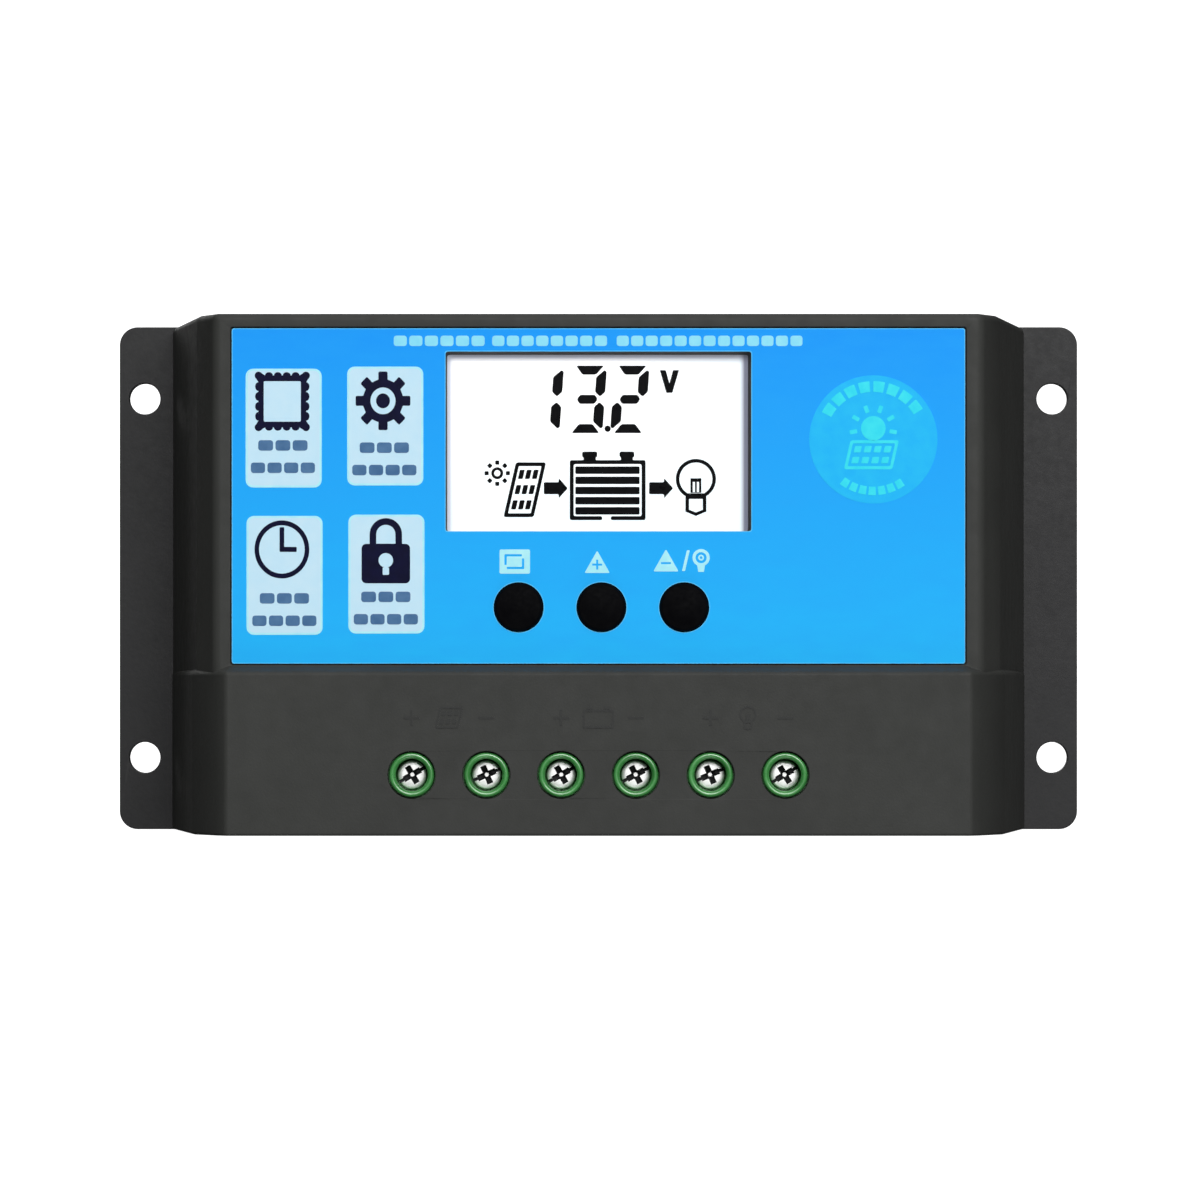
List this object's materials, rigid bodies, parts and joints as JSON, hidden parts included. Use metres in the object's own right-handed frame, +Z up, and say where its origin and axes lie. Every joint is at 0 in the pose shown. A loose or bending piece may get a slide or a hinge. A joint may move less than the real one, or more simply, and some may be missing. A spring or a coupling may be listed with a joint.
{
  "type": "solar charge controller",
  "caption": "Wall-mounted solar charge controller: black case on a metal back plate with mounting ears, backlit display, push buttons and a row of screw cable clamps.",
  "frame": {"origin": "centre of the back plate's rear face, which lies against the wall", "axes": "+X to the right as the front is faced, +Y into the wall, +Z up"},
  "size_m": [0.1334, 0.035, 0.07],
  "materials": {
    "plate_coating": "black powder coat, satin",
    "case_plastic": "fine spark texture",
    "label_film": "printed polyester film, satin",
    "button_rubber": "smooth, slightly soft",
    "switch_plastic": "moulded",
    "terminal_plastic": "moulded polyamide, semi-gloss",
    "plated_steel": "nickel plated",
    "cage_steel": "zinc plated, tumbled",
    "tinned_brass": "tin plated",
    "tinned_pins": "tin plated, in a moulded carrier strip",
    "tinned_copper": "tinned wire",
    "crystal_can": "drawn can",
    "black_steel": "black zinc",
    "solder_mask": "green solder mask",
    "display_glass": "clear",
    "polariser_film": "clear film",
    "backlight_acrylic": "diffusing acrylic",
    "holder_plastic": "moulded",
    "moulded_epoxy": "moulded",
    "capacitor_sleeve": "shrunk sleeve",
    "silicone_pad": "woven silicone"
  },
  "bodies": {
    "controller_housing": {"back_plate": "plate_coating", "front_shell": "case_plastic", "faceplate_label": "label_film", "plate_screw_1": "black_steel", "plate_screw_2": "black_steel", "plate_screw_3": "black_steel", "plate_screw_4": "black_steel", "main_board": "solder_mask", "board_screw_1": "plated_steel", "board_screw_2": "plated_steel", "board_screw_3": "plated_steel", "board_screw_4": "plated_steel", "switch_menu_body": "switch_plastic", "switch_up_body": "switch_plastic", "switch_down_body": "switch_plastic", "lcd_polariser": "polariser_film", "lcd_front_glass": "display_glass", "lcd_rear_glass": "display_glass", "backlight_panel": "backlight_acrylic", "backlight_lamp_left": "backlight_acrylic", "backlight_lamp_right": "backlight_acrylic", "display_holder": "holder_plastic", "display_pin_row": "tinned_pins", "mosfet_1": "moulded_epoxy", "mosfet_2": "moulded_epoxy", "mosfet_3": "moulded_epoxy", "thermal_pad": "silicone_pad", "bulk_capacitor": "capacitor_sleeve", "output_capacitor": "capacitor_sleeve", "controller_chip": "moulded_epoxy", "regulator_chip": "moulded_epoxy", "clock_crystal": "crystal_can", "clamp_diode": "moulded_epoxy", "shunt_wire": "tinned_copper", "terminal_housing": "terminal_plastic", "contact_bar_1": "tinned_brass", "contact_bar_2": "tinned_brass", "contact_bar_3": "tinned_brass", "contact_bar_4": "tinned_brass", "contact_bar_5": "tinned_brass", "contact_bar_6": "tinned_brass"},
    "menu_button": {"button_menu": "button_rubber", "switch_menu_stem": "switch_plastic"},
    "up_button": {"button_up": "button_rubber", "switch_up_stem": "switch_plastic"},
    "down_button": {"button_down": "button_rubber", "switch_down_stem": "switch_plastic"},
    "terminal_screw_1": {"terminal_screw_1": "plated_steel"},
    "clamp_cage_1": {"clamp_cage_1": "cage_steel"},
    "terminal_screw_2": {"terminal_screw_2": "plated_steel"},
    "clamp_cage_2": {"clamp_cage_2": "cage_steel"},
    "terminal_screw_3": {"terminal_screw_3": "plated_steel"},
    "clamp_cage_3": {"clamp_cage_3": "cage_steel"},
    "terminal_screw_4": {"terminal_screw_4": "plated_steel"},
    "clamp_cage_4": {"clamp_cage_4": "cage_steel"},
    "terminal_screw_5": {"terminal_screw_5": "plated_steel"},
    "clamp_cage_5": {"clamp_cage_5": "cage_steel"},
    "terminal_screw_6": {"terminal_screw_6": "plated_steel"},
    "clamp_cage_6": {"clamp_cage_6": "cage_steel"}
  },
  "joints": [
    {"name": "menu_press", "type": "slide", "parent": "controller_housing", "child": "menu_button", "axis": [0, 1, 0], "range_m": [0, 0.0005], "stiffness_N_per_m": 20, "springref_m": -0.0005},
    {"name": "up_press", "type": "slide", "parent": "controller_housing", "child": "up_button", "axis": [0, 1, 0], "range_m": [0, 0.0005], "stiffness_N_per_m": 20, "springref_m": -0.0005},
    {"name": "down_press", "type": "slide", "parent": "controller_housing", "child": "down_button", "axis": [0, 1, 0], "range_m": [0, 0.0005], "stiffness_N_per_m": 20, "springref_m": -0.0005},
    {"name": "screw_1_turn", "type": "hinge", "parent": "controller_housing", "child": "terminal_screw_1", "pos_m": [-0.025, -0.0322, -0.02685], "axis": [0, 1, 0], "range_deg": [0, 2460.1]},
    {"name": "cage_1_rise", "type": "slide", "parent": "controller_housing", "child": "clamp_cage_1", "axis": [0, -1, 0], "range_m": [0, 0.0041]},
    {"name": "screw_2_turn", "type": "hinge", "parent": "controller_housing", "child": "terminal_screw_2", "pos_m": [-0.015, -0.0322, -0.02685], "axis": [0, 1, 0], "range_deg": [0, 2460.1]},
    {"name": "cage_2_rise", "type": "slide", "parent": "controller_housing", "child": "clamp_cage_2", "axis": [0, -1, 0], "range_m": [0, 0.0041]},
    {"name": "screw_3_turn", "type": "hinge", "parent": "controller_housing", "child": "terminal_screw_3", "pos_m": [-0.005, -0.0322, -0.02685], "axis": [0, 1, 0], "range_deg": [0, 2460.1]},
    {"name": "cage_3_rise", "type": "slide", "parent": "controller_housing", "child": "clamp_cage_3", "axis": [0, -1, 0], "range_m": [0, 0.0041]},
    {"name": "screw_4_turn", "type": "hinge", "parent": "controller_housing", "child": "terminal_screw_4", "pos_m": [0.005, -0.0322, -0.02685], "axis": [0, 1, 0], "range_deg": [0, 2460.1]},
    {"name": "cage_4_rise", "type": "slide", "parent": "controller_housing", "child": "clamp_cage_4", "axis": [0, -1, 0], "range_m": [0, 0.0041]},
    {"name": "screw_5_turn", "type": "hinge", "parent": "controller_housing", "child": "terminal_screw_5", "pos_m": [0.015, -0.0322, -0.02685], "axis": [0, 1, 0], "range_deg": [0, 2460.1]},
    {"name": "cage_5_rise", "type": "slide", "parent": "controller_housing", "child": "clamp_cage_5", "axis": [0, -1, 0], "range_m": [0, 0.0041]},
    {"name": "screw_6_turn", "type": "hinge", "parent": "controller_housing", "child": "terminal_screw_6", "pos_m": [0.025, -0.0322, -0.02685], "axis": [0, 1, 0], "range_deg": [0, 2460.1]},
    {"name": "cage_6_rise", "type": "slide", "parent": "controller_housing", "child": "clamp_cage_6", "axis": [0, -1, 0], "range_m": [0, 0.0041]}
  ],
  "couplings": [
    {"joint": "screw_1_turn", "follows": "cage_1_rise", "rad_per_m": 10472},
    {"joint": "screw_2_turn", "follows": "cage_2_rise", "rad_per_m": 10472},
    {"joint": "screw_3_turn", "follows": "cage_3_rise", "rad_per_m": 10472},
    {"joint": "screw_4_turn", "follows": "cage_4_rise", "rad_per_m": 10472},
    {"joint": "screw_5_turn", "follows": "cage_5_rise", "rad_per_m": 10472},
    {"joint": "screw_6_turn", "follows": "cage_6_rise", "rad_per_m": 10472}
  ]
}
